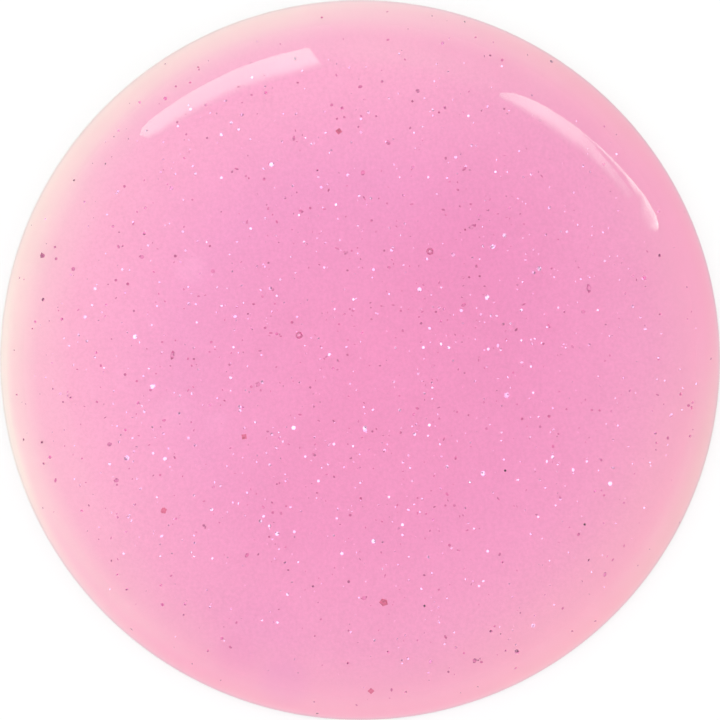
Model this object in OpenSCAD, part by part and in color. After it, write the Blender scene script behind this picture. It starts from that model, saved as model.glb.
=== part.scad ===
// A drop of clear pink glitter gel, set where it was laid on a flat surface.
// Surface tension domes the gel: a flat crown, a shoulder and a tight bend down to the edge.
// Flakes punched from metal foil are mixed through it, each in its own pocket of gel,
// and a few air bubbles are caught in it. The origin is the centre of the flat underside.

/* [Gel drop] */
// Diameter of the drop where it meets the surface it lies on
drop_d = 15; // [12:0.5:24]
// Height of the crown above that surface
drop_h = 2.4; // [2:0.1:3]
// Angle in degrees at which the gel meets that surface
contact_angle = 78; // [65:1:88]
// Radius of the bend along the edge
edge_r = 1.85; // [1.2:0.05:2.1]
// Slope in degrees at which the crown passes into the shoulder
crown_slope = 6.5; // [3:0.5:12]
// Slope in degrees at which the shoulder passes into the bend
bend_slope = 34; // [28:1:44]

/* [Glitter] */
// Coarse cut: width of a flake across its flats
coarse_w = 0.08; // [0.07:0.005:0.15]
// Medium cut: width of a flake across its flats
medium_w = 0.055; // [0.045:0.005:0.08]
// Fine cut: side of a square flake
fine_w = 0.04; // [0.03:0.005:0.055]
// Side of a square red flake
red_w = 0.1; // [0.06:0.005:0.15]
// Thickness of the foil
foil_t = 0.016; // [0.012:0.002:0.03]
// Steepest tilt of a flake in the gel, in degrees
tilt_max = 30; // [0:5:60]
// Least depth of gel over and under a flake
cover = 0.06; // [0.03:0.01:0.12]
// Least gel between neighbouring flakes
flake_gap = 0.03; // [0.01:0.01:0.1]
// Medium silver flakes mixed in
silver_medium_n = 45; // [15:5:90]
// Fine silver flakes mixed in
silver_fine_n = 95; // [40:5:200]
// Medium rose flakes mixed in
rose_medium_n = 40; // [15:5:90]
// Fine rose flakes mixed in
rose_fine_n = 75; // [40:5:200]

/* [Bubbles] */
// Diameter of an air bubble
bubble_d = 0.14; // [0.1:0.02:0.3]
// How far the bubbles have risen, as a share of the depth that the gel leaves for them
bubble_rise = 0.7; // [0:0.1:1]

/* [Hidden] */

$fn = 96;
arc_fn = 480;
arc_step = 0.0005;
bubble_fn = 24;

// Section of the drop: three arcs that meet in line, each turning the slope further.
// The crown and the shoulder take the radii that close the section on the drop's size.
drop_r = drop_d / 2;
bend_out = edge_r * (sin(contact_angle) - sin(bend_slope));
bend_down = edge_r * (cos(bend_slope) - cos(contact_angle));
upper_out = drop_r - bend_out;
upper_down = drop_h - bend_down;
crown_out = sin(crown_slope);
crown_down = 1 - cos(crown_slope);
shoulder_out = sin(bend_slope) - sin(crown_slope);
shoulder_down = cos(crown_slope) - cos(bend_slope);
closing = crown_out * shoulder_down - crown_down * shoulder_out;
crown_r = (upper_out * shoulder_down - upper_down * shoulder_out) / closing;
shoulder_r = (crown_out * upper_down - crown_down * upper_out) / closing;

// Centres of the three arcs, and the radii of the drop where one arc passes into the next
crown_c = [0, drop_h - crown_r];
shoulder_c = crown_c + (crown_r - shoulder_r) * [sin(crown_slope), cos(crown_slope)];
edge_c = shoulder_c + (shoulder_r - edge_r) * [sin(bend_slope), cos(bend_slope)];
crown_end = crown_r * sin(crown_slope);
bend_start = drop_r - bend_out;

// Height of an arc of the section at a distance r from the drop's axis
function arc_height(centre, radius, r) = centre.y + sqrt(max(0, radius ^ 2 - (r - centre.x) ^ 2));

// Height of the gel at a distance r from the drop's axis
function gel_height(r) =
    r < crown_end ? arc_height(crown_c, crown_r, r)
    : r < bend_start ? arc_height(shoulder_c, shoulder_r, r)
    : r < drop_r ? arc_height(edge_c, edge_r, r)
    : 0;

// Places of the flakes that catch the eye, as [share of the drop's radius, angle in degrees]
silver_coarse_at = [
    [0.411, -13.5], [0.456, -42.7], [0.686, 202.8], [0.570, 187.3], [0.906, -61.7], [0.475, 40.5],
    [0.387, 26.2], [0.496, -85.7], [0.186, -85.9], [0.550, 27.0], [0.807, 16.1], [0.521, 40.8],
    [0.864, -56.9], [0.259, 225.6], [0.525, 244.5], [0.618, 174.1], [0.585, 114.4], [0.757, -26.3]
];
rose_coarse_at = [
    [0.513, 178.5], [0.655, 17.4], [0.474, 49.9], [0.621, 12.2], [0.285, 193.4], [0.644, -89.0],
    [0.656, 154.7], [0.915, 161.8], [0.875, -69.1], [0.816, 162.4], [0.721, 198.6], [0.737, 206.3],
    [0.468, 148.9], [0.752, 77.9]
];
red_at = [[0.661, -84.4], [0.671, 217.5], [0.904, -88.1], [0.625, 95.3], [0.379, 213.5]];
black_at = [[0.497, -37.3], [0.753, -36.2], [0.696, -75.3]];
bubbles_at = [[0.179, 157.8], [0.352, 57.2]];

// Something held in the gel: [what, centre, reach from its centre, [tilt, lean, spin]].
// It lies at a share of the depth that the gel leaves for it, counted from below.
function held(what, reach, share, angle, depth, turn) =
    let (
        r = share * drop_r,
        low = cover + reach,
        high = gel_height(r + reach) - cover - reach
    )
    high > low ? [[what, [r * cos(angle), r * sin(angle), low + depth * (high - low)], reach, turn]] : [];

// Bubbles at chosen places, all risen alike
function caught(places) =
    [for (place = places) each held("bubbles", bubble_d / 2, place[0], place[1], bubble_rise, [0, 0, 0])];

// Flakes at chosen places, each at a depth and turn of its own. They lie in the upper half of the gel
// and only half as steep as the rest, which is why they catch the eye.
function placed(what, reach, places, seed) =
    let (u = rands(0, 1, 4 * len(places), seed))
    [for (i = [0 : len(places) - 1]) each held(what, reach, places[i][0], places[i][1],
        (1 + u[4 * i]) / 2, [tilt_max / 2 * u[4 * i + 1], 360 * u[4 * i + 2], 360 * u[4 * i + 3]])];

// Flakes stirred evenly through the gel, so that fewer lie under the thin rim than under the crown
function stirred(what, reach, count, seed) =
    let (u = rands(0, 1, 6 * count, seed))
    [for (i = [0 : count - 1]) each held(what, reach, sqrt(1 - sqrt(1 - u[6 * i])), 360 * u[6 * i + 1],
        u[6 * i + 2], [tilt_max * u[6 * i + 3], 360 * u[6 * i + 4], 360 * u[6 * i + 5]])];

// Keeps, one after another, those that lie clear of all kept before
function is_clear(one, kept) =
    len([for (other = kept) if (norm(one[1] - other[1]) < one[2] + other[2] + flake_gap) other]) == 0;
function settled(tries, i = 0, kept = []) =
    i == len(tries) ? kept
    : settled(tries, i + 1, is_clear(tries[i], kept) ? [each kept, tries[i]] : kept);

// Distance from a flake's centre to its corners: hexagon and square
function hex_reach(w) = w / sqrt(3);
function square_reach(w) = w / sqrt(2);

HELD = settled([
    each caught(bubbles_at),
    each placed("red_flakes", square_reach(red_w), red_at, 2),
    each placed("silver_flakes_coarse", hex_reach(coarse_w), silver_coarse_at, 3),
    each placed("rose_flakes_coarse", hex_reach(coarse_w), rose_coarse_at, 4),
    each placed("black_specks", square_reach(fine_w), black_at, 5),
    each stirred("silver_flakes_medium", hex_reach(medium_w), silver_medium_n, 6),
    each stirred("rose_flakes_medium", hex_reach(medium_w), rose_medium_n, 7),
    each stirred("silver_flakes_fine", square_reach(fine_w), silver_fine_n, 8),
    each stirred("rose_flakes_fine", square_reach(fine_w), rose_fine_n, 9)
]);

// Flakes of one kind, punched from the foil with a number of sides, each turned its own way
module flakes(what, sides) {
    for (one = HELD)
        if (one[0] == what)
            translate(one[1])
                rotate([0, one[3][0], one[3][1]])
                    rotate(one[3][2])
                        cylinder(r = one[2], h = foil_t, center = true, $fn = sides);
}

module bubbles() {
    for (one = HELD)
        if (one[0] == "bubbles")
            translate(one[1])
                sphere(r = one[2], $fn = bubble_fn);
}

// Sector of a disc, from the top of the disc round to where it has a slope
module slope_sector(centre, radius, slope) {
    far = 2 * radius;
    translate(centre)
        intersection() {
            circle(r = radius, $fn = arc_fn);
            polygon([[0, 0], [0, far], far * [sin(slope), cos(slope)]]);
        }
}

// Half section of the drop, from its axis out to its edge. Each arc starts under the one above it
// and stands a hair proud of it, so that the two cross cleanly where they meet in line.
// The arcs' centres all lie below the underside, so their sectors fill the section down to it.
module drop_section() {
    intersection() {
        square(drop_d);
        union() {
            slope_sector(crown_c, crown_r - 2 * arc_step, crown_slope);
            slope_sector(shoulder_c, shoulder_r - arc_step, bend_slope);
            slope_sector(edge_c, edge_r, contact_angle);
        }
    }
}

module gel_drop() {
    color([0.96, 0.6, 0.78, 0.6])
        difference() {
            rotate_extrude() drop_section();
            flakes("red_flakes", 4);
            flakes("silver_flakes_coarse", 6);
            flakes("rose_flakes_coarse", 6);
            flakes("black_specks", 4);
            flakes("silver_flakes_medium", 6);
            flakes("rose_flakes_medium", 6);
            flakes("silver_flakes_fine", 4);
            flakes("rose_flakes_fine", 4);
            bubbles();
        }
}

module silver_flakes_coarse() {
    color("white") flakes("silver_flakes_coarse", 6);
}

module silver_flakes_medium() {
    color("white") flakes("silver_flakes_medium", 6);
}

module silver_flakes_fine() {
    color("white") flakes("silver_flakes_fine", 4);
}

module rose_flakes_coarse() {
    color("palevioletred") flakes("rose_flakes_coarse", 6);
}

module rose_flakes_medium() {
    color("palevioletred") flakes("rose_flakes_medium", 6);
}

module rose_flakes_fine() {
    color("palevioletred") flakes("rose_flakes_fine", 4);
}

module red_flakes() {
    color("indianred") flakes("red_flakes", 4);
}

module black_specks() {
    color("black") flakes("black_specks", 4);
}

gel_drop();
silver_flakes_coarse();
silver_flakes_medium();
silver_flakes_fine();
rose_flakes_coarse();
rose_flakes_medium();
rose_flakes_fine();
red_flakes();
black_specks();
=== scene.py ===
import math
import random

import bmesh
import bpy
from mathutils import Euler, Matrix, Vector


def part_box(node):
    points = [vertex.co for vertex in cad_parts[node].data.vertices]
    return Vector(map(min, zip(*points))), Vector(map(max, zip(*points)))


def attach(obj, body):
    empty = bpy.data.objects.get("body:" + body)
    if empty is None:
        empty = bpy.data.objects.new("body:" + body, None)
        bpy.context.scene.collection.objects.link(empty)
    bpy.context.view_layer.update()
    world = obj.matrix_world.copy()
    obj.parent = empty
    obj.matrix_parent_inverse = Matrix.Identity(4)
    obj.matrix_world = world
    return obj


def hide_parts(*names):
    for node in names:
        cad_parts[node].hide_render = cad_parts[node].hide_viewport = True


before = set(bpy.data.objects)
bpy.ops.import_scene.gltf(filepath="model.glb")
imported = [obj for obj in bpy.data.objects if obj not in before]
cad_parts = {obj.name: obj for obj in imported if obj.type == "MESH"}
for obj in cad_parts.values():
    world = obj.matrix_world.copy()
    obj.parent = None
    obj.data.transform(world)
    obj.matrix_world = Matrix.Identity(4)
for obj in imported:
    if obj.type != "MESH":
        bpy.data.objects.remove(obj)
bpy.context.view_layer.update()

# The gel: clear pink gel, laid down as one drop and left to set on a flat surface.
# Surface tension domes it, so its section is a flat crown, a shoulder and a tight bend.
# The glitter is stirred into it, and two air bubbles stay caught in it as hollows.
mm = 0.001
drop_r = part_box("gel_drop")[1].x
drop_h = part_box("gel_drop")[1].z
edge_r = 1.85 * mm
crown_slope = math.radians(6.5)
bend_slope = math.radians(34)
contact_angle = math.radians(78)
least_cover = 0.06 * mm

# The crown and the shoulder take the radii that close the section on the drop's size.
upper_out = drop_r - edge_r * (math.sin(contact_angle) - math.sin(bend_slope))
upper_down = drop_h - edge_r * (math.cos(bend_slope) - math.cos(contact_angle))
crown_out = math.sin(crown_slope)
crown_down = 1 - math.cos(crown_slope)
shoulder_out = math.sin(bend_slope) - math.sin(crown_slope)
shoulder_down = math.cos(crown_slope) - math.cos(bend_slope)
closing = crown_out * shoulder_down - crown_down * shoulder_out
crown_r = (upper_out * shoulder_down - upper_down * shoulder_out) / closing
shoulder_r = (crown_out * upper_down - crown_down * upper_out) / closing


def up_slope(slope):
    return Vector((math.sin(slope), 0, math.cos(slope)))


crown_c = Vector((0, 0, drop_h - crown_r))
shoulder_c = crown_c + (crown_r - shoulder_r) * up_slope(crown_slope)
edge_c = shoulder_c + (shoulder_r - edge_r) * up_slope(bend_slope)


def gel_arc(r):
    """Centre and radius of the arc that the gel's section follows at a distance r from its axis."""
    if r < crown_r * crown_out:
        return crown_c, crown_r
    if r < upper_out:
        return shoulder_c, shoulder_r
    return edge_c, edge_r


def gel_height(r):
    centre, radius = gel_arc(r)
    return centre.z + math.sqrt(max(0, radius ** 2 - (r - centre.x) ** 2))


def in_gel(share, azimuth, rise, reach):
    """Point in the gel: rise goes from 0, just clear of the underside, to 1, just under the surface."""
    cover = least_cover + reach
    r = share * drop_r
    turn = math.radians(azimuth)
    z = cover + rise * (gel_height(min(r + reach, drop_r)) - 2 * cover)
    return Vector((r * math.cos(turn), r * math.sin(turn), z))


# The section is swept arc by arc from the top of the crown, then closed along the underside and turned.
round_steps = 240
gel_mesh = bmesh.new()
tip = gel_mesh.verts.new((0, 0, drop_h))
for centre, turn, steps in (
    (crown_c, crown_slope, 12),
    (shoulder_c, bend_slope - crown_slope, 18),
    (edge_c, contact_angle - bend_slope, 24),
):
    swept = bmesh.ops.spin(gel_mesh, geom=[tip], cent=centre, axis=(0, 1, 0), angle=turn, steps=steps)
    tip = next(part for part in swept["geom_last"] if isinstance(part, bmesh.types.BMVert))
tip.co.z = 0
base = bmesh.ops.extrude_vert_indiv(gel_mesh, verts=[tip])
base["verts"][0].co = (0, 0, 0)
bmesh.ops.spin(
    gel_mesh, geom=gel_mesh.verts[:] + gel_mesh.edges[:], cent=(0, 0, 0), axis=(0, 0, 1),
    angle=math.tau, steps=round_steps, use_merge=True,
)
bmesh.ops.remove_doubles(gel_mesh, verts=gel_mesh.verts[:], dist=0.0001 * mm)
bmesh.ops.recalc_face_normals(gel_mesh, faces=gel_mesh.faces[:])

# Only the underside is flat, and the edge round it stays sharp.
for face in gel_mesh.faces:
    face.smooth = face.normal.z > -0.5
for edge in gel_mesh.edges:
    edge.smooth = all(face.smooth for face in edge.link_faces)

bubble_r = 0.07 * mm
bubble_rise = 0.7
bubble_places = ((0.179, 157.8), (0.352, 57.2))
bubble_middles = [in_gel(share, azimuth, bubble_rise, bubble_r) for share, azimuth in bubble_places]
for middle in bubble_middles:
    bubble = bmesh.ops.create_icosphere(
        gel_mesh, subdivisions=4, radius=bubble_r, matrix=Matrix.Translation(middle),
    )
    walls = {face for vert in bubble["verts"] for face in vert.link_faces}
    bmesh.ops.reverse_faces(gel_mesh, faces=list(walls))
    for face in walls:
        face.smooth = True


class Shade:
    """A socket of a node tree: operators on it add Math nodes, and node() adds any other node."""

    def __init__(self, tree, socket=None):
        self.tree = tree
        self.socket = socket

    def node(self, kind, settings=(), inputs=(), output=0):
        made = self.tree.nodes.new(kind)
        for name, value in dict(settings).items():
            if name == "stops":
                ends = made.color_ramp.elements
                ends[0].position, ends[0].color = value[0]
                ends[1].position, ends[1].color = value[-1]
                for position, colour in value[1:-1]:
                    made.color_ramp.elements.new(position).color = colour
            else:
                setattr(made, name, value)
        for name, value in dict(inputs).items():
            if isinstance(value, Shade):
                self.tree.links.new(value.socket, made.inputs[name])
            else:
                made.inputs[name].default_value = value
        return Shade(self.tree, made.outputs[output]) if made.outputs else None

    def maths(self, operation, first, second):
        return self.node("ShaderNodeMath", {"operation": operation}, {0: first, 1: second})

    def __add__(self, other):
        return self.maths("ADD", self, other)

    def __radd__(self, other):
        return self.maths("ADD", other, self)

    def __sub__(self, other):
        return self.maths("SUBTRACT", self, other)

    def __rsub__(self, other):
        return self.maths("SUBTRACT", other, self)

    def __mul__(self, other):
        return self.maths("MULTIPLY", self, other)

    def __rmul__(self, other):
        return self.maths("MULTIPLY", other, self)

    def blend(self, factor, first, second):
        colours = {0: factor, 6: first, 7: second}
        return self.node("ShaderNodeMix", {"data_type": "RGBA"}, colours, output=2)

    def tinted(self, weight, tint):
        settings = {"data_type": "RGBA", "blend_type": "MULTIPLY"}
        return self.node("ShaderNodeMix", settings, {0: weight, 6: self, 7: tint}, output=2)

    def smooth(self, start, end):
        """Rises softly from 0 to 1 as the value goes from start to end."""
        limits = {"Value": self, "From Min": start, "From Max": end}
        return self.node("ShaderNodeMapRange", {"interpolation_type": "SMOOTHSTEP"}, limits)


def new_finish(name):
    material = bpy.data.materials.new(name)
    material.use_nodes = True
    material.node_tree.nodes.clear()
    return material, Shade(material.node_tree)


def new_piece(name, mesh, finish):
    data = bpy.data.meshes.new(name)
    mesh.to_mesh(data)
    mesh.free()
    data.materials.append(finish)
    piece = bpy.data.objects.new(name, data)
    bpy.context.scene.collection.objects.link(piece)
    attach(piece, "root")
    return piece


gel_finish, shade = new_finish("pink_gel")
place = shade.node("ShaderNodeTexCoord", output="Object")
ripple = shade.node("ShaderNodeTexNoise", inputs={"Vector": place, "Scale": 350.0, "Detail": 2.0})
skin = shade.node("ShaderNodeBump", inputs={"Height": ripple, "Strength": 0.15, "Distance": 0.004 * mm})
body = shade.node("ShaderNodeBsdfPrincipled", inputs={
    "Base Color": shade.blend(ripple, (1, 0.99, 0.995, 1), (0.99, 0.975, 0.985, 1)),
    "Roughness": 0.02 + 0.02 * ripple,
    "IOR": 1.48,
    "Transmission Weight": 1.0,
    "Normal": skin,
})
lamp_ray = shade.node("ShaderNodeLightPath", output="Is Shadow Ray")
let_in = shade.node("ShaderNodeBsdfTransparent", inputs={"Color": (1, 1, 1, 1)})
clear = shade.node("ShaderNodeMixShader", inputs={0: lamp_ray, 1: body, 2: let_in})
tint = shade.node("ShaderNodeVolumeAbsorption", inputs={
    "Color": (0.96, 0.1, 0.55, 1),
    "Density": 100.0,
})
shade.node("ShaderNodeOutputMaterial", inputs={"Surface": clear, "Volume": tint})

gel = new_piece("gel_dome", gel_mesh, gel_finish)
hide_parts("gel_drop")

# The settled pearl: the finest pearl pigment, sunk to the underside while the gel was wet.
# It is a hair-thin pale layer right across the drop, warmer and creamier towards the rim, and paler still
# on the side towards the key lamp, as painted light. It is not quite even: broad patches and small wisps
# tint it lighter or deeper in places.
pearl_z = 0.008 * mm
pearl_t = 0.012 * mm
pearl_inset = 0.01 * mm
pearl_mesh = bmesh.new()
bmesh.ops.create_circle(
    pearl_mesh, cap_ends=True, segments=round_steps, radius=drop_r - pearl_inset,
    matrix=Matrix.Translation((0, 0, pearl_z)),
)
raised = bmesh.ops.extrude_face_region(pearl_mesh, geom=pearl_mesh.faces[:], use_keep_orig=True)
top = [part for part in raised["geom"] if isinstance(part, bmesh.types.BMVert)]
bmesh.ops.translate(pearl_mesh, verts=top, vec=(0, 0, pearl_t))
bmesh.ops.recalc_face_normals(pearl_mesh, faces=pearl_mesh.faces[:])


def flat_way(azimuth):
    turn = math.radians(azimuth)
    return Vector((math.cos(turn), math.sin(turn), 0))


pearl_finish, shade = new_finish("settled_pearl")
place = shade.node("ShaderNodeTexCoord", output="Object")
plan = shade.node("ShaderNodeVectorMath", {"operation": "MULTIPLY"}, {0: place, 1: (1, 1, 0)})
from_axis = shade.node("ShaderNodeVectorMath", {"operation": "LENGTH"}, {0: plan}, output="Value")
share = from_axis * (1 / drop_r)
way = shade.node("ShaderNodeVectorMath", {"operation": "NORMALIZE"}, {0: plan})


def towards(azimuth, start, end):
    """Grows from 0 to 1 as the way out from the middle turns towards an azimuth."""
    sides = {0: way, 1: flat_way(azimuth)}
    turned = way.node("ShaderNodeVectorMath", {"operation": "DOT_PRODUCT"}, sides, output="Value")
    return turned.smooth(start, end)


# Painted light: the side towards azimuth 145, where the key lamp stands, is painted paler and creamier at
# its rim, and the far side deeper pink, as painted shade. The tones run from the middle out to the rim.
painted_lit_side = towards(145, -0.21, 0.65)
shaded_side_tones = shade.node("ShaderNodeValToRGB", {"stops": (
    (0.0, (0.84, 0.48, 0.67, 1)),
    (0.49, (0.81, 0.45, 0.64, 1)),
    (0.77, (0.82, 0.47, 0.63, 1)),
    (0.865, (0.85, 0.50, 0.63, 1)),
    (0.915, (0.91, 0.54, 0.65, 1)),
    (0.96, (0.94, 0.52, 0.62, 1)),
)}, {"Fac": share})
lit_side_tones = shade.node("ShaderNodeValToRGB", {"stops": (
    (0.0, (0.84, 0.48, 0.67, 1)),
    (0.49, (0.83, 0.51, 0.69, 1)),
    (0.77, (0.89, 0.57, 0.69, 1)),
    (0.865, (0.90, 0.67, 0.71, 1)),
    (0.915, (0.94, 0.85, 0.77, 1)),
    (0.96, (0.99, 0.95, 0.81, 1)),
)}, {"Fac": share})
tone = shade.blend(painted_lit_side, shaded_side_tones, lit_side_tones)

# Broad patches, each given as its azimuth, how far it spreads to either side, the shares of the radius
# over which it comes in, those over which it fades, past 1.0 where it runs out to the edge, and its tint.
for azimuth, spread, rise, fall, tint in (
    (72, 95, (0.05, 0.45), (1.0, 1.1), (0.98, 0.925, 0.97)),
    (255, 90, (0.05, 0.3), (1.0, 1.1), (1.01, 1.035, 1.015)),
    (20, 25, (0.86, 0.92), (1.0, 1.1), (1.0, 0.93, 0.99)),
    (52, 22, (0.88, 0.93), (1.0, 1.1), (1.0, 1.04, 0.99)),
    (80, 24, (0.80, 0.88), (1.0, 1.1), (1.0, 0.90, 0.98)),
    (112, 26, (0.70, 0.82), (0.88, 0.93), (1.0, 0.94, 1.0)),
    (138, 14, (0.76, 0.82), (0.88, 0.92), (1.0, 0.95, 1.0)),
    (-38, 42, (0.62, 0.85), (1.0, 1.1), (1.01, 1.06, 0.985)),
    (-22, 25, (0.88, 0.94), (1.0, 1.1), (0.97, 1.10, 1.01)),
    (201, 30, (0.78, 0.86), (0.93, 0.97), (1.0, 0.92, 0.98)),
    (185, 22, (0.92, 0.96), (1.0, 1.1), (1.0, 1.10, 1.07)),
    (226, 26, (0.90, 0.94), (1.0, 1.1), (1.0, 0.91, 0.99)),
    (272, 25, (0.92, 0.96), (1.0, 1.1), (1.0, 0.94, 0.99)),
    (-8, 22, (0.92, 0.96), (1.0, 1.1), (0.99, 1.08, 1.02)),
):
    ring = share.smooth(*rise) * (1 - share.smooth(*fall))
    tone = tone.tinted(towards(azimuth, math.cos(math.radians(spread)), 1.0) * ring, (*tint, 1))

# Small wisps, each given as its middle in shares of the radius, how far it reaches and its tint.
for middle, reach, tint in (
    (0.79 * flat_way(250), 1.3 * mm, (0.99, 0.965, 1.0)),
    (0.85 * flat_way(247), 0.6 * mm, (0.99, 0.95, 0.985)),
    (0.885 * flat_way(257), 0.7 * mm, (0.97, 0.94, 1.0)),
    (0.52 * flat_way(152), 0.45 * mm, (1.04, 1.09, 1.06)),
    (0.52 * flat_way(196), 0.5 * mm, (1.02, 1.05, 1.03)),
    (0.42 * flat_way(203), 0.35 * mm, (1.02, 1.04, 1.03)),
):
    ends = {0: plan, 1: drop_r * middle}
    away = shade.node("ShaderNodeVectorMath", {"operation": "DISTANCE"}, ends, output="Value")
    tone = tone.tinted(1 - away.smooth(0.3 * reach, reach), (*tint, 1))

# Painted shade: the layer is painted a shade greyer right at the edge, for the dark line round the drop's
# foot.
# It looks grainy only under the thick of the gel.
drift = shade.node("ShaderNodeTexNoise", inputs={"Vector": place, "Scale": 600.0, "Detail": 4.0})
grain = shade.node("ShaderNodeTexNoise", inputs={"Vector": place, "Scale": 16000.0, "Detail": 2.0})
tone = tone.tinted(share.smooth(0.975, 0.99), (0.88, 0.88, 0.9, 1))
tone = tone.tinted(1 - share.smooth(0.75, 0.95), 1.12 - 0.2 * grain - 0.04 * drift)
layer = shade.node("ShaderNodeBsdfPrincipled", inputs={
    "Base Color": tone,
    "Roughness": 0.5 + 0.2 * grain,
    "Specular IOR Level": 0.0,
})
shade.node("ShaderNodeOutputMaterial", inputs={"Surface": layer})
new_piece("pearl_layer", pearl_mesh, pearl_finish)

# The bubble rings: a dark pink sheet round each air bubble, as painted shade for the dark ring that a
# bubble's wall shows where it bends and mirrors the light. Each sheet wraps its bubble, half see-through
# round the waist and fading out towards the top and the bottom.
shade_ring_r = 1.03 * bubble_r
shade_ring_mesh = bmesh.new()
wrap = shade_ring_mesh.loops.layers.uv.new("wrap")
for middle in bubble_middles:
    shade_ring = bmesh.ops.create_icosphere(
        shade_ring_mesh, subdivisions=3, radius=shade_ring_r, matrix=Matrix.Translation(middle),
    )
    for face in {face for vert in shade_ring["verts"] for face in vert.link_faces}:
        face.smooth = True
        for loop in face.loops:
            loop[wrap].uv = (abs(loop.vert.co.z - middle.z) / shade_ring_r, 0)

shade_ring_finish, shade = new_finish("bubble_ring_shade")
uv = shade.node("ShaderNodeUVMap", {"uv_map": "wrap"})
from_waist = shade.node("ShaderNodeSeparateXYZ", inputs={0: uv}, output="X")
place = shade.node("ShaderNodeTexCoord", output="Object")
grain = shade.node("ShaderNodeTexNoise", inputs={"Vector": place, "Scale": 20000.0, "Detail": 2.0})
# Painted shade: the sheet's dark pink stands for the bubble's dark ring, not for any pigment.
shade_ring = shade.node("ShaderNodeBsdfPrincipled", inputs={
    "Base Color": shade.blend(grain, (0.75, 0.08, 0.36, 1), (0.6, 0.06, 0.28, 1)),
    "Roughness": 0.5 + 0.2 * grain,
    "Alpha": 0.5 - 0.5 * from_waist.smooth(0.4, 0.85),
})
shade.node("ShaderNodeOutputMaterial", inputs={"Surface": shade_ring})
new_piece("bubble_ring_shades", shade_ring_mesh, shade_ring_finish)

# The silver flakes: hexagons and small squares punched from bright metal foil, in three cuts.
# They are stirred into the wet gel, and each is set in a pocket of its own, turned its own way.
def foil(name, colour, metallic, roughness, crease_shade):
    """Finish of a foil, with painted shade in its creases: they are darker, and the last argument is how
    bright they are beside the rest.
    """
    finish, shade = new_finish(name)
    place = shade.node("ShaderNodeTexCoord", output="Object")
    grain = shade.node("ShaderNodeTexNoise", inputs={"Vector": place, "Scale": 14000.0, "Detail": 2.0})
    # Painted shade: the creased patches are darkened in the foil's own colour.
    painted_crease_shade = grain.smooth(0.52, 0.62)
    crease_shade_colour = tuple(crease_shade * part for part in colour)
    dent_depth = 0.004 * mm
    dent = shade.node("ShaderNodeBump", inputs={"Height": grain, "Strength": 0.2, "Distance": dent_depth})
    body = shade.node("ShaderNodeBsdfPrincipled", inputs={
        "Base Color": shade.blend(painted_crease_shade, (*colour, 1), (*crease_shade_colour, 1)),
        "Metallic": metallic,
        "Roughness": roughness + 0.1 * grain,
        "Normal": dent,
    })
    shade.node("ShaderNodeOutputMaterial", inputs={"Surface": body})
    return finish


def dress(node, finish):
    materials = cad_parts[node].data.materials
    materials.clear()
    materials.append(finish)


silver_foil = foil("silver_foil", (1.0, 0.66, 0.93), 0.8, 0.12, crease_shade=0.35)
dress("silver_flakes_coarse", silver_foil)
dress("silver_flakes_medium", silver_foil)
dress("silver_flakes_fine", silver_foil)

# The silver dust: shards of the same foil that break off as the flakes are punched and sifted.
# They are too small for a cut of their own, and are stirred into the gel along with the flakes.
def add_shard(mesh, middle, turn, length, width, sides):
    """Adds one flat shard of foil, a fifth as thick as it is wide, with slightly bevelled sides."""
    shape = Matrix.Diagonal((length, width, 0.2 * width, 1))
    bmesh.ops.create_cone(
        mesh, cap_ends=True, segments=sides, radius1=0.5, radius2=0.45, depth=1.0,
        matrix=Matrix.Translation(middle) @ turn @ shape,
    )


dust_reach = 0.98
dust_tilt = 20


def stir_in(mesh, count, lengths, slimness, spread, chance):
    """Adds shards of a range of lengths, with widths that are a range of shares of the length.

    A spread of 1 lays them out evenly, and a lower one draws them in from the rim.
    """
    for _ in range(count):
        length = chance.uniform(*lengths)
        share = dust_reach * math.sqrt(1 - (1 - chance.random()) ** spread)
        middle = in_gel(share, 360 * chance.random(), chance.random(), length)
        tilt = math.radians(chance.uniform(0, dust_tilt))
        lean = Euler((tilt, 0, math.tau * chance.random())).to_matrix().to_4x4()
        spin = Matrix.Rotation(math.tau * chance.random(), 4, "Z")
        width = length * chance.uniform(*slimness)
        add_shard(mesh, middle, lean @ spin, length, width, chance.choice((5, 6, 7)))


silver_dust = bmesh.new()
chance = random.Random(11)
for count, lengths in (
    (34, (0.078 * mm, 0.1 * mm)),
    (150, (0.056 * mm, 0.078 * mm)),
    (370, (0.038 * mm, 0.056 * mm)),
    (220, (0.026 * mm, 0.038 * mm)),
    (220, (0.018 * mm, 0.026 * mm)),
):
    stir_in(silver_dust, count, lengths, slimness=(0.4, 1.0), spread=0.7, chance=chance)
new_piece("silver_dust", silver_dust, silver_foil)

# The silver scraps: torn corners of the silver foil that slipped through the sieve, larger than any cut.
# Torn and not punched, they are hardly creased, so their painted crease shade is faint. Each lies level
# below a coarse flake, low in the gel.
scrap_rise = 0.3
scrap_sides = 5


def lay_in(mesh, scraps):
    """Adds scraps, each given as its share of the radius, azimuth, length and width in mm, and turn."""
    for share, azimuth, length, width, turn in scraps:
        middle = in_gel(share, azimuth, scrap_rise, length * mm)
        spin = Matrix.Rotation(math.radians(turn), 4, "Z")
        add_shard(mesh, middle, spin, length * mm, width * mm, scrap_sides)


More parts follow.
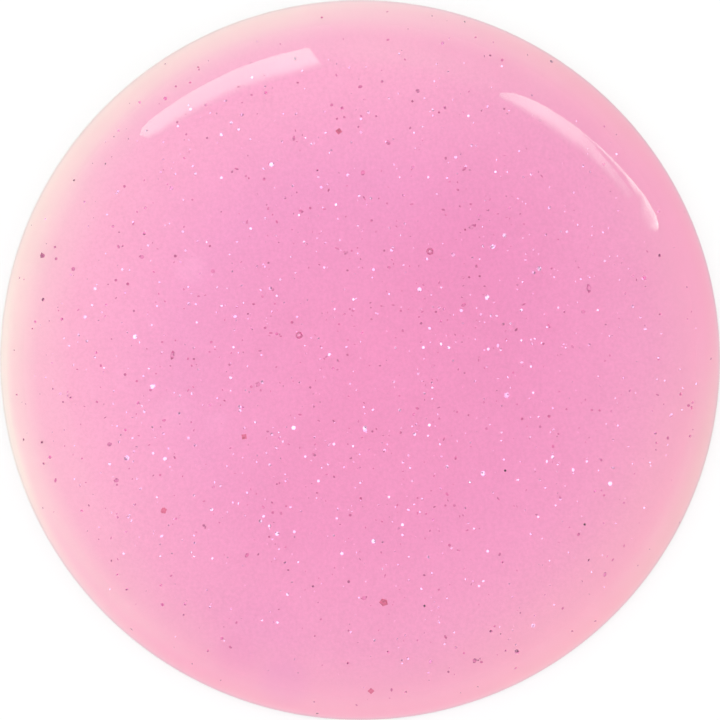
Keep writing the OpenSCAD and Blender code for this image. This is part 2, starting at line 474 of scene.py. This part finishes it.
torn_silver = foil("torn_silver", (1.0, 0.66, 0.93), 0.8, 0.12, crease_shade=0.75)
silver_scraps = bmesh.new()
lay_in(silver_scraps, (
    (0.41, -13.5, 0.15, 0.13, 60),
    (0.455, -42.7, 0.14, 0.12, 100),
    (0.68, 202.8, 0.13, 0.12, 70),
    (0.475, 40.5, 0.14, 0.10, 5),
    (0.385, 26.2, 0.14, 0.10, 70),
    (0.565, 187.3, 0.14, 0.09, 35),
    (0.895, -61.7, 0.12, 0.09, 5),
    (0.19, -85.9, 0.11, 0.10, 25),
    (0.495, -85.7, 0.11, 0.10, 160),
    (0.545, 27.0, 0.11, 0.10, 155),
    (0.795, 16.1, 0.12, 0.08, 15),
    (0.61, 174.1, 0.14, 0.07, 60),
))
new_piece("silver_scraps", silver_scraps, torn_silver)

# The rose flakes: the same three cuts, punched from foil with a dusky rose lacquer.
# They are mixed in with the silver ones and show as the darker specks.
rose_foil = foil("rose_foil", (0.68, 0.24, 0.44), 0.3, 0.3, crease_shade=0.65)
dress("rose_flakes_coarse", rose_foil)
dress("rose_flakes_medium", rose_foil)
dress("rose_flakes_fine", rose_foil)

# The rose dust: shards of the rose foil, stirred in with its flakes.
# They tear into slimmer slivers than the silver ones, and fewer of them lie near the rim.
rose_dust = bmesh.new()
chance = random.Random(12)
for count, lengths in (
    (26, (0.09 * mm, 0.125 * mm)),
    (70, (0.066 * mm, 0.09 * mm)),
    (230, (0.046 * mm, 0.066 * mm)),
    (230, (0.032 * mm, 0.046 * mm)),
):
    stir_in(rose_dust, count, lengths, slimness=(0.3, 0.8), spread=0.45, chance=chance)
new_piece("rose_dust", rose_dust, rose_foil)

# The rose scraps: torn strips of the rose foil, longer than any cut, on which the lacquer ran thick.
# Like the silver ones, they lie level in the lower half of the gel.
thick_rose = foil("thick_rose", (0.52, 0.14, 0.31), 0.3, 0.3, crease_shade=0.65)
rose_scraps = bmesh.new()
lay_in(rose_scraps, (
    (0.51, 178.5, 0.21, 0.09, 80),
    (0.645, 17.4, 0.21, 0.09, 98),
    (0.475, 49.9, 0.19, 0.08, 26),
    (0.65, 154.7, 0.12, 0.07, 165),
    (0.64, -89.0, 0.15, 0.06, 20),
    (0.285, 193.4, 0.12, 0.07, 65),
    (0.87, -69.1, 0.12, 0.07, 53),
    (0.71, 198.6, 0.12, 0.07, 20),
    (0.73, 206.3, 0.12, 0.08, 12),
    (0.905, 161.8, 0.13, 0.06, 82),
))
new_piece("rose_scraps", rose_scraps, thick_rose)

# The red flakes: a few squares cut from foil with a clear red lacquer, strays from another mix.
# They lie in the upper half of the gel, nearly level.
red_foil = foil("red_foil", (0.64, 0.155, 0.27), 0.3, 0.3, crease_shade=0.75)
dress("red_flakes", red_foil)

# The red scraps: two torn corners of the red foil, wider than its squares.
# Each lies level under a red flake, in the lower half of the gel.
red_scraps = bmesh.new()
lay_in(red_scraps, (
    (0.655, -84.4, 0.19, 0.16, 167),
    (0.665, 217.5, 0.14, 0.12, 65),
))
new_piece("red_scraps", red_scraps, red_foil)

# The black specks: tiny squares of unlacquered black film, matt on both sides.
# Only a few are caught in the gel.
dress("black_specks", foil("black_pigment", (0.03, 0.01, 0.02), 0.0, 0.6, crease_shade=0.75))

# The studio: a white floor just under the drop, and even white light all round it.
# A broad lamp gives the drop its shadow, and three lit panels over it give the highlights.
floor_gap = 0.02 * mm
floor_mesh = bmesh.new()
bmesh.ops.create_grid(floor_mesh, x_segments=1, y_segments=1, size=1.0)
bmesh.ops.translate(floor_mesh, verts=floor_mesh.verts[:], vec=(0, 0, -floor_gap))
floor_data = bpy.data.meshes.new("floor")
floor_mesh.to_mesh(floor_data)
floor_mesh.free()
floor = bpy.data.objects.new("floor", floor_data)
bpy.context.scene.collection.objects.link(floor)
floor_finish, shade = new_finish("white_floor")
seen = shade.node("ShaderNodeLightPath", output="Is Camera Ray")
mirrored = shade.node("ShaderNodeLightPath", output="Is Glossy Ray")
through = shade.node("ShaderNodeLightPath", output="Is Transmission Ray")
matt = shade.node("ShaderNodeBsdfPrincipled", inputs={
    "Base Color": (0.86, 0.86, 0.86, 1),
    "Roughness": 0.8,
})
white = shade.node("ShaderNodeEmission", inputs={"Color": (1, 1, 1, 1), "Strength": 1.0})
shown = 0.5 * (seen + mirrored + through)
paper = shade.node("ShaderNodeMixShader", inputs={0: shown, 1: matt, 2: white})
shade.node("ShaderNodeOutputMaterial", inputs={"Surface": paper})
floor.data.materials.append(floor_finish)

world = bpy.data.worlds.new("studio")
world.use_nodes = True
world.node_tree.nodes.clear()
bpy.context.scene.world = world
shade = Shade(world.node_tree)
seen = shade.node("ShaderNodeLightPath", output="Is Camera Ray")
mirrored = shade.node("ShaderNodeLightPath", output="Is Glossy Ray")
through = shade.node("ShaderNodeLightPath", output="Is Transmission Ray")
fill = 0.9 + 0.1 * (seen + mirrored + through)
sky = shade.node("ShaderNodeBackground", inputs={"Color": (1, 1, 1, 1), "Strength": fill})
shade.node("ShaderNodeOutputWorld", inputs={"Surface": sky})

# The lamp leans over towards -Y first, and is then turned from there to its azimuth.
key_lean = 20
key_azimuth = 150
key_lamp = bpy.data.lights.new("key", "SUN")
key_lamp.energy = 0.9
key_lamp.angle = math.radians(80)
key = bpy.data.objects.new("key", key_lamp)
key.rotation_euler = (math.radians(key_lean), 0, math.radians(key_azimuth + 90))
key.visible_glossy = False
bpy.context.scene.collection.objects.link(key)

camera_h = 0.15
panel_distance = 0.4
panel_tint = (0.6, 1, 0.78)


def mirrored_by_gel(share, azimuth):
    """Way from the drop's surface to what the camera sees mirrored at a place in its view."""
    flat_r = share * drop_r
    r = flat_r * (1 - gel_height(flat_r) / camera_h)
    centre, radius = gel_arc(r)
    around = Matrix.Rotation(math.radians(azimuth), 3, "Z")
    normal = around @ up_slope(math.asin((r - centre.x) / radius))
    to_camera = (Vector((0, 0, camera_h)) - around @ Vector((r, 0, gel_height(r)))).normalized()
    return 2 * normal.dot(to_camera) * normal - to_camera


def softbox(name, outer, inner, finish):
    """Lit panel that is mirrored between an outer and an inner line of (share, azimuth) points."""
    mesh = bmesh.new()
    across = mesh.loops.layers.uv.new("across")
    lines = []
    for points in (outer, inner):
        verts = [mesh.verts.new(panel_distance * mirrored_by_gel(*point)) for point in points]
        lines += [mesh.edges.new(pair) for pair in zip(verts, verts[1:])]
    bmesh.ops.bridge_loops(mesh, edges=lines)
    mesh.verts.index_update()
    for face in mesh.faces:
        for loop in face.loops:
            row, column = divmod(loop.vert.index, len(outer))
            loop[across].uv = (column / (len(outer) - 1), row)
    data = bpy.data.meshes.new(name)
    mesh.to_mesh(data)
    mesh.free()
    data.materials.append(finish)
    panel = bpy.data.objects.new(name, data)
    bpy.context.scene.collection.objects.link(panel)
    panel.visible_camera = False


def panel_finish(name, strengths, fade_from):
    """Light with strengths spaced evenly along a panel. It fades out towards the panel's inner line."""
    finish, shade = new_finish(name)
    uv = shade.node("ShaderNodeUVMap", {"uv_map": "across"})
    along = shade.node("ShaderNodeSeparateXYZ", inputs={0: uv}, output="X")
    across = shade.node("ShaderNodeSeparateXYZ", inputs={0: uv}, output="Y")
    top = max(strengths)
    last = len(strengths) - 1
    greys = [(part / top, part / top, part / top, 1) for part in strengths]
    stops = tuple((i / last, grey) for i, grey in enumerate(greys))
    glow = top * shade.node("ShaderNodeValToRGB", {"stops": stops}, {"Fac": along})
    glow = 1 + glow * (1 - across.smooth(fade_from, 1.0))
    colour = shade.node("ShaderNodeVectorMath", {"operation": "SCALE"}, {0: panel_tint, "Scale": glow})
    lit = shade.node("ShaderNodeEmission", inputs={"Color": colour, "Strength": 1.0})
    shade.node("ShaderNodeOutputMaterial", inputs={"Surface": lit})
    return finish


softbox(
    "left_softbox",
    outer=(
        (0.880, 99.3), (0.879, 105), (0.879, 112), (0.880, 119),
        (0.883, 126), (0.887, 131), (0.885, 133.2), (0.875, 134.4),
    ),
    inner=(
        (0.818, 97), (0.808, 104), (0.812, 112), (0.818, 119),
        (0.826, 126), (0.834, 131), (0.845, 133.6), (0.866, 134.4),
    ),
    finish=panel_finish("left_glow", (5.0, 5.0, 4.4, 4.3, 4.2, 4.5, 4.6, 4.4), 0.55),
)
softbox(
    "right_softbox",
    outer=(
        (0.843, 62.2), (0.857, 60), (0.866, 57.5), (0.874, 53.8), (0.880, 50),
        (0.887, 46), (0.884, 43), (0.882, 40), (0.884, 36), (0.890, 31),
    ),
    inner=(
        (0.826, 62.2), (0.824, 60), (0.823, 57.5), (0.823, 53.8), (0.826, 50),
        (0.832, 46), (0.842, 43), (0.849, 40), (0.856, 36), (0.862, 31),
    ),
    finish=panel_finish("right_glow", (3.6, 5.0, 5.8, 6.0, 5.4, 5.0, 3.6, 3.6, 2.3, 0.8), 0.4),
)
softbox(
    "right_strip",
    outer=(
        (0.886, 46.3), (0.896, 40), (0.904, 35), (0.913, 30),
        (0.916, 26.3), (0.911, 24.4), (0.899, 23.6),
    ),
    inner=(
        (0.882, 46.3), (0.887, 40), (0.894, 35), (0.892, 30),
        (0.868, 26.3), (0.872, 24.6), (0.887, 23.6),
    ),
    finish=panel_finish("strip_glow", (4.0, 6.2, 6.6, 7.2, 6.6, 10.0, 9.0), 0.15),
)

camera_data = bpy.data.cameras.new("camera")
camera_data.sensor_width = 36
camera_data.lens = camera_data.sensor_width * camera_h / (2 * drop_r)
camera_data.clip_start = 0.001
camera = bpy.data.objects.new("camera", camera_data)
camera.location = (0, 0, camera_h)
bpy.context.scene.collection.objects.link(camera)
bpy.context.scene.camera = camera
bpy.context.scene.view_settings.view_transform = "Standard"
